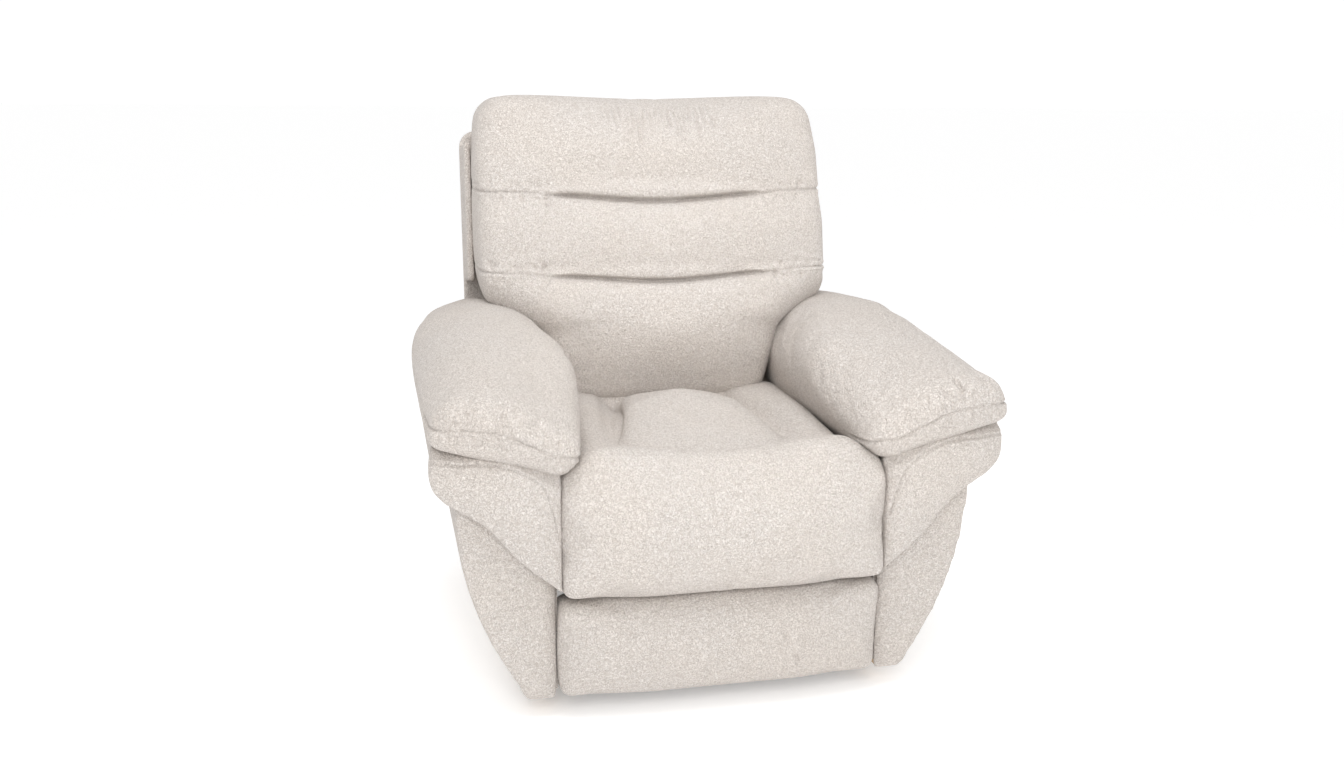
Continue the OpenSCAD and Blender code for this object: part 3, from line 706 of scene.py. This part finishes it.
seat = {
    "voxel": 0.007, "smooth": 6, "pressure": 2.5, "puff": 0.010, "creaseWidth": 0.007, "creaseDepth": 0.018,
    "fill": 0.8}
seatCrease = [(0.108, 0.075), (0.120, -0.020), (0.134, -0.118), (0.165, -0.250), (0.19, -0.33)]


def makeSeat():
    mesh = bpy.data.meshes.new("seatCushion")
    hull(mesh, mirrored([(0.250, y, z, 0.012) for y in (-0.343, 0.178) for z in (0.358, 0.425)]))
    hull(mesh, mirrored([(0.228, 0.120, 0.424, 0.034), (0.228, 0.140, 0.400, 0.034)]))
    hull(mesh, mirrored([
        (0.068, 0.015, 0.416, 0.055), (0.000, -0.060, 0.428, 0.068), (0.085, -0.090, 0.420, 0.060),
        (0.110, -0.200, 0.405, 0.055), (0.125, -0.300, 0.395, 0.045)]))
    for s in (-1, 1):
        hull(mesh, [(s * x, y, z, r) for x, y, z, r in (
            (0.170, 0.110, 0.426, 0.042), (0.226, 0.110, 0.438, 0.036), (0.200, -0.100, 0.424, 0.044),
            (0.226, -0.100, 0.434, 0.036), (0.210, -0.290, 0.412, 0.040), (0.228, -0.320, 0.420, 0.034))])
    body = newObject("seatCushion", mesh)
    remeshed(body, seat["voxel"], seat["smooth"])
    co = points(body)
    inflated(body, (co[:, 2] < 0.42).astype(float), seat["pressure"], seat["puff"])
    subdivided(body)
    co = points(body)
    out = normals(body)
    flat = np.column_stack((np.abs(co[:, 0]), co[:, 1]))
    top = ramp(out[:, 2], 0.0, 0.3)
    co = pressed(co, out, flat, smoothPath(seatCrease, 30), seat["creaseWidth"], seat["creaseDepth"], 0,
                 mask=top * ramp(co[:, 1], -0.32, -0.06))
    setPoints(body, co)
    finished(body, "seat_carriage", ["seat_cushion"])


chaise = {"voxel": 0.007, "smooth": 5, "saddle": 0.016, "pressure": 2.5, "puff": 0.010, "fill": 0.8}


def makeChaise():
    mesh = bpy.data.meshes.new("chaisePad")
    hull(mesh, mirrored([
        (0.270, -0.366, 0.434, 0.018), (0.270, -0.400, 0.432, 0.018), (0.270, -0.424, 0.410, 0.018),
        (0.270, -0.430, 0.250, 0.018), (0.270, -0.385, 0.245, 0.018), (0.215, -0.376, 0.442, 0.040),
        (0.130, -0.376, 0.430, 0.040), (0.130, -0.415, 0.395, 0.040), (0.130, -0.424, 0.320, 0.040),
        (0.130, -0.420, 0.262, 0.040)]))
    body = newObject("chaisePad", mesh)
    remeshed(body, chaise["voxel"], chaise["smooth"])
    co = points(body)
    co[:, 2] -= chaise["saddle"] * (1 - ramp(np.abs(co[:, 0]), 0.02, 0.20)) * ramp(co[:, 2], 0.38, 0.46)
    setPoints(body, co)
    inflated(body, (co[:, 1] > -0.375).astype(float), chaise["pressure"], chaise["puff"])
    subdivided(body)
    co = points(body)
    boardFace = -0.3727
    co[:, 1] = np.minimum(co[:, 1], boardFace + 0.1 * ramp(co[:, 2], 0.385, 0.43))
    setPoints(body, co)
    finished(body, None, ["calf_pad"],
             ("seat_carriage", "calf_panel", (0, -0.345, 0.47), (0, -0.430, 0.36)))


footrest = {"voxel": 0.006, "smooth": 5, "pressure": 2.5, "puff": 0.008, "wrinkles": 7, "fill": 0.7}


def makeFootrest():
    mesh = bpy.data.meshes.new("footrestPad")
    hull(mesh, mirrored([
        (0.271, -0.405, 0.201, 0.018), (0.271, -0.392, 0.058, 0.018), (0.279, -0.353, 0.206, 0.010),
        (0.279, -0.353, 0.052, 0.010), (0.130, -0.400, 0.184, 0.035), (0.130, -0.408, 0.130, 0.035),
        (0.130, -0.395, 0.072, 0.035)]))
    body = newObject("footrestPad", mesh)
    remeshed(body, footrest["voxel"], footrest["smooth"])
    co = points(body)
    inflated(body, (co[:, 1] > -0.37).astype(float), footrest["pressure"], footrest["puff"])
    subdivided(body)
    co = points(body)
    out = normals(body)
    flat = co[:, (0, 2)]
    front = ramp(-out[:, 1], 0.1, 0.4)
    picker = random.Random(21)
    for number in range(footrest["wrinkles"]):
        x = picker.uniform(0.095, 0.150)
        high = picker.uniform(0.100, 0.165)
        path = [(x, high), (x + picker.uniform(-0.006, 0.010), high - picker.uniform(0.020, 0.050))]
        co = pressed(co, out, flat, path, picker.uniform(0.0035, 0.0055), picker.uniform(0.0022, 0.0042),
                     0.35, sharp=False, mask=front)
    setPoints(body, co)
    finished(body, None, ["footrest_pad"],
             ("calf_panel", "footrest", (0, -0.40, 0.222), (0, -0.40, 0.150)))


makeSeat()
makeChaise()
makeFootrest()


# ---- rear panels and kept nodes ----

for name, node, body, voxel in (
        ("backShell", "back_shell", "backrest", 0.006), ("rearSkirt", "rear_skirt", "base", 0.005)):
    panel = newObject(name, copied(node))
    remeshed(panel, voxel, 4)
    finished(panel, body, [node])

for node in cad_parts.values():
    names = [m.name for m in node.data.materials]
    covered = node.name.startswith(("arm_inner_board", "arm_top_board"))
    for index, name in enumerate(names):
        kind = name.split(".")[0]
        node.data.materials[index] = fabric if covered else finishes.get(kind, fabric)


# ---- camera, floor and light ----

def aimed(azimuth, elevation, roll, distance, lookAt, lens):
    az, el, tilt = map(math.radians, (azimuth, elevation, roll))
    away = Vector((math.sin(az) * math.cos(el), -math.cos(az) * math.cos(el), math.sin(el)))
    right = Vector((math.cos(az), math.sin(az), 0))
    up = away.cross(right)
    acrossAxis = right * math.cos(tilt) + up * math.sin(tilt)
    upAxis = up * math.cos(tilt) - right * math.sin(tilt)
    camera = newObject("camera", bpy.data.cameras.new("camera"))
    camera.data.lens = lens
    turn = Matrix((acrossAxis, upAxis, away)).transposed().to_4x4()
    camera.matrix_world = Matrix.Translation(Vector(lookAt) + away * distance) @ turn
    scene.camera = camera


aimed(-13, 12.4, 0.39, 2.67, (0.006, 0.035, 0.494), 35.25)

floorShell = bmesh.new()
bmesh.ops.create_grid(floorShell, x_segments=1, y_segments=1, size=120)
floorMesh = bpy.data.meshes.new("floor")
floorShell.to_mesh(floorMesh)
floorShell.free()
floor = newObject("floor", floorMesh)
floorFinish = Finish("floor")
floorFace = floorFinish.make("ShaderNodeBsdfPrincipled", {}, **{
    "Base Color": (0.98, 0.98, 0.98, 1), "Roughness": 0.9, "Emission Color": (1, 1, 1, 1),
    "Emission Strength": 0.27})
floorFinish.make("ShaderNodeOutputMaterial", {}, floorFace)
floor.data.materials.append(floorFinish.material)

scene.world = bpy.data.worlds.new("studio")
scene.world.use_nodes = True
worldTree = scene.world.node_tree
backdrop = worldTree.nodes["Background"]
backdrop.inputs["Color"].default_value = (1, 1, 1, 1)
seen = worldTree.nodes.new("ShaderNodeLightPath")
level = worldTree.nodes.new("ShaderNodeMapRange")
lighting, background = 0.74, 1.05
level.inputs["To Min"].default_value, level.inputs["To Max"].default_value = lighting, background
worldTree.links.new(seen.outputs["Is Camera Ray"], level.inputs["Value"])
worldTree.links.new(level.outputs["Result"], backdrop.inputs["Strength"])
scene.view_settings.view_transform = "Standard"


def softbox(name, place, aim, size, power, spread=180):
    lamp = newObject(name, bpy.data.lights.new(name, "AREA"))
    lamp.data.shape, lamp.data.size, lamp.data.energy = "SQUARE", size, power
    lamp.data.spread = math.radians(spread)
    lamp.location = place
    lamp.rotation_mode = "QUATERNION"
    lamp.rotation_quaternion = (Vector(aim) - Vector(place)).to_track_quat("-Z", "Y")


softbox("topLight", (-0.3, -0.7, 3.1), (0, -0.05, 0.5), 1.8, 30)
softbox("keyLight", (-0.9, -3.2, 2.1), (0, 0, 0.6), 1.4, 37)
softbox("seatLight", (0.1, -2.6, 1.5), (0, 0.05, 0.60), 0.6, 0.5, 24)
softbox("fillLight", (2.4, -2.2, 1.6), (0, 0, 0.5), 1.8, 8)
